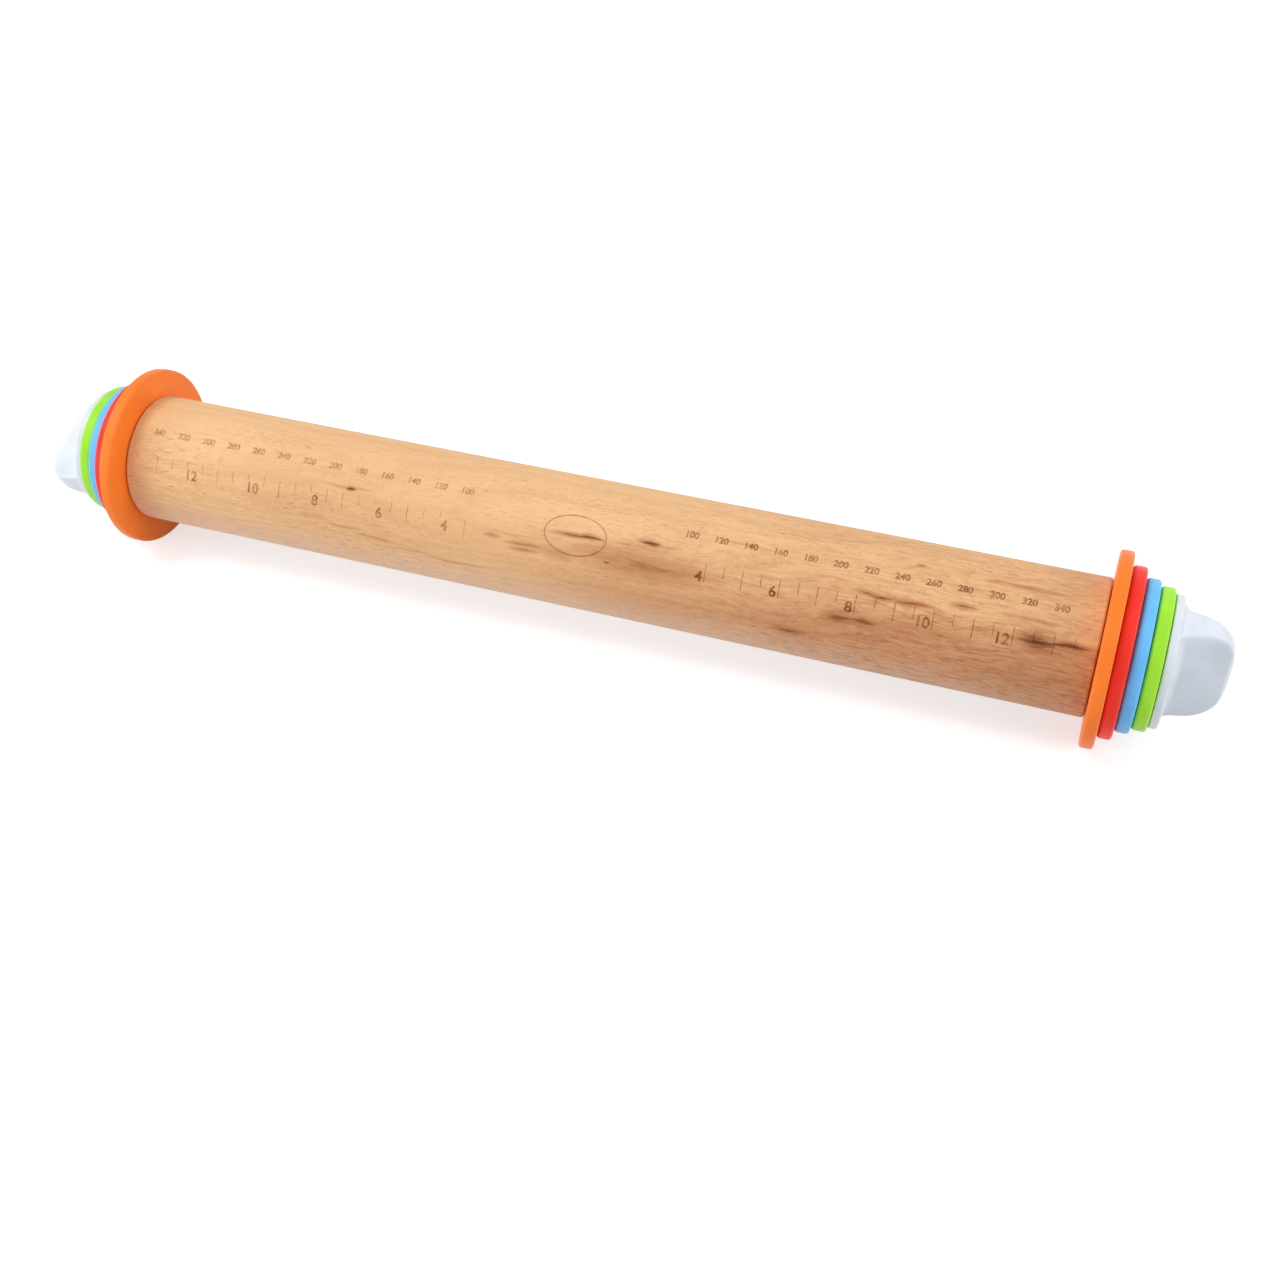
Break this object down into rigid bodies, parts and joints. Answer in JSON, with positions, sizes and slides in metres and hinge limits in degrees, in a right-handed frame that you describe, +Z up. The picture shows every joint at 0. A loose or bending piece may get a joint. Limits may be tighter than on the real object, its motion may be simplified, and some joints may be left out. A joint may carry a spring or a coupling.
{
  "type": "adjustable rolling pin",
  "caption": "Adjustable rolling pin: wooden barrel with removable stepped thickness rings clamped on each end by screw-on wing knobs.",
  "frame": {"origin": "on the table under the middle of the pin, where the largest rings stand on their lowest flat sides", "axes": "+X along the barrel towards the right knob, +Z up; the engraved scale faces -Y and up"},
  "size_m": [0.4254, 0.0646, 0.0646],
  "materials": {
    "beech": "oiled beech with fine flecks along the barrel and an engraved scale",
    "orange_plastic": "satin moulded plastic",
    "red_plastic": "satin moulded plastic",
    "blue_plastic": "satin moulded plastic",
    "green_plastic": "satin moulded plastic",
    "white_plastic": "satin moulded plastic",
    "grey_plastic": "glass-filled moulded plastic",
    "steel": "zinc-plated steel"
  },
  "bodies": {
    "barrel": {"barrel": "beech", "thread_insert_left": "grey_plastic", "thread_insert_right": "grey_plastic", "insert_screw_left": "steel", "insert_screw_right": "steel"},
    "ring_orange_left": {"ring_orange_left": "orange_plastic"},
    "ring_red_left": {"ring_red_left": "red_plastic"},
    "ring_blue_left": {"ring_blue_left": "blue_plastic"},
    "ring_green_left": {"ring_green_left": "green_plastic"},
    "knob_left": {"knob_left": "white_plastic", "threaded_post_left": "grey_plastic", "post_washer_left": "steel", "post_screw_left": "steel"},
    "ring_orange_right": {"ring_orange_right": "orange_plastic"},
    "ring_red_right": {"ring_red_right": "red_plastic"},
    "ring_blue_right": {"ring_blue_right": "blue_plastic"},
    "ring_green_right": {"ring_green_right": "green_plastic"},
    "knob_right": {"knob_right": "white_plastic", "threaded_post_right": "grey_plastic", "post_washer_right": "steel", "post_screw_right": "steel"}
  },
  "joints": [
    {"name": "knob_left_turn", "type": "hinge", "parent": "ring_green_left", "child": "knob_left", "pos_m": [-0.19165, 0, 0.03228], "axis": [-1, 0, 0], "range_deg": [0, 1080]},
    {"name": "ring_green_left_slide", "type": "slide", "parent": "barrel", "child": "ring_green_left", "axis": [-1, 0, 0], "range_m": [0, 0.015]},
    {"name": "ring_blue_left_slide", "type": "slide", "parent": "barrel", "child": "ring_blue_left", "axis": [-1, 0, 0], "range_m": [0, 0.01125]},
    {"name": "ring_red_left_slide", "type": "slide", "parent": "barrel", "child": "ring_red_left", "axis": [-1, 0, 0], "range_m": [0, 0.0075]},
    {"name": "ring_orange_left_slide", "type": "slide", "parent": "barrel", "child": "ring_orange_left", "axis": [-1, 0, 0], "range_m": [0, 0.00375]},
    {"name": "knob_right_turn", "type": "hinge", "parent": "ring_green_right", "child": "knob_right", "pos_m": [0.19165, 0, 0.03228], "axis": [1, 0, 0], "range_deg": [0, 1080]},
    {"name": "ring_green_right_slide", "type": "slide", "parent": "barrel", "child": "ring_green_right", "axis": [1, 0, 0], "range_m": [0, 0.015]},
    {"name": "ring_blue_right_slide", "type": "slide", "parent": "barrel", "child": "ring_blue_right", "axis": [1, 0, 0], "range_m": [0, 0.01125]},
    {"name": "ring_red_right_slide", "type": "slide", "parent": "barrel", "child": "ring_red_right", "axis": [1, 0, 0], "range_m": [0, 0.0075]},
    {"name": "ring_orange_right_slide", "type": "slide", "parent": "barrel", "child": "ring_orange_right", "axis": [1, 0, 0], "range_m": [0, 0.00375]}
  ],
  "couplings": [
    {"joint": "ring_green_left_slide", "follows": "knob_left_turn", "m_per_rad": 0.00079577},
    {"joint": "ring_blue_left_slide", "follows": "knob_left_turn", "m_per_rad": 0.00059683},
    {"joint": "ring_red_left_slide", "follows": "knob_left_turn", "m_per_rad": 0.00039788},
    {"joint": "ring_orange_left_slide", "follows": "knob_left_turn", "m_per_rad": 0.00019894},
    {"joint": "ring_green_right_slide", "follows": "knob_right_turn", "m_per_rad": 0.00079577},
    {"joint": "ring_blue_right_slide", "follows": "knob_right_turn", "m_per_rad": 0.00059683},
    {"joint": "ring_red_right_slide", "follows": "knob_right_turn", "m_per_rad": 0.00039788},
    {"joint": "ring_orange_right_slide", "follows": "knob_right_turn", "m_per_rad": 0.00019894}
  ]
}
